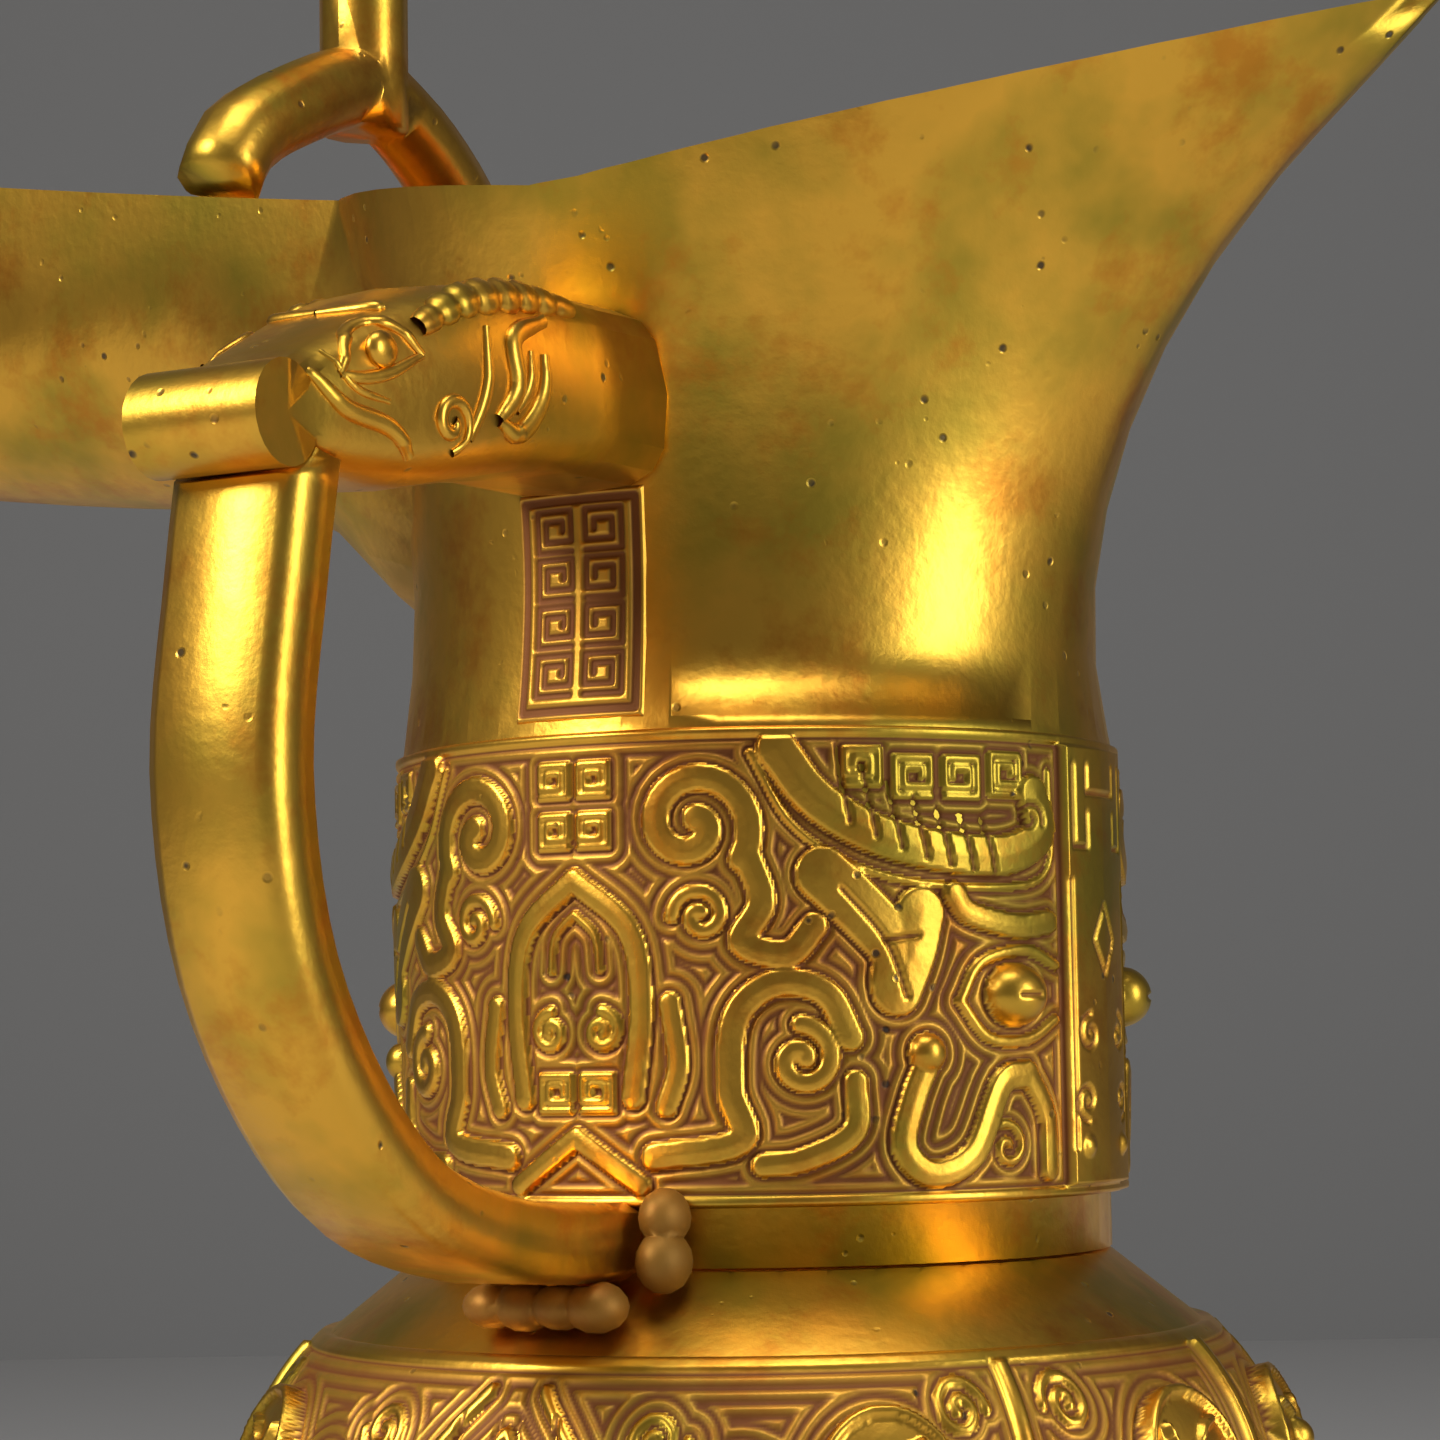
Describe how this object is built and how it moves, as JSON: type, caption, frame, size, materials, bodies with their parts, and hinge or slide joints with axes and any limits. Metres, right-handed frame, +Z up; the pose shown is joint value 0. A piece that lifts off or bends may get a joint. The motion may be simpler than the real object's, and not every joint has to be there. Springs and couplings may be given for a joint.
{
  "type": "wine cup",
  "caption": "Gilt bronze ritual wine cup on three legs, with a long spout, a pointed tail, a forked post and a strap handle under an animal head.",
  "frame": {"origin": "centre of the bounding box's bottom face, on the floor that the three feet stand on", "axes": "+Z up, along the cup's height; -X towards the spout and +X towards the tail; -Y towards the handle"},
  "size_m": [0.172, 0.1298, 0.2705],
  "materials": {
    "gilt_bronze": "worn gilding, satin, with dark recesses"
  },
  "bodies": {
    "root": {"handle_head": "gilt_bronze", "handle_strap": "gilt_bronze", "leg_handle_side": "gilt_bronze", "leg_spout_side": "gilt_bronze", "leg_tail_side": "gilt_bronze", "lower_belly": "gilt_bronze", "post_cap": "gilt_bronze", "post_fork": "gilt_bronze", "strap_bead_side": "gilt_bronze", "strap_bead_under": "gilt_bronze", "upper_body": "gilt_bronze"}
  },
  "joints": []
}
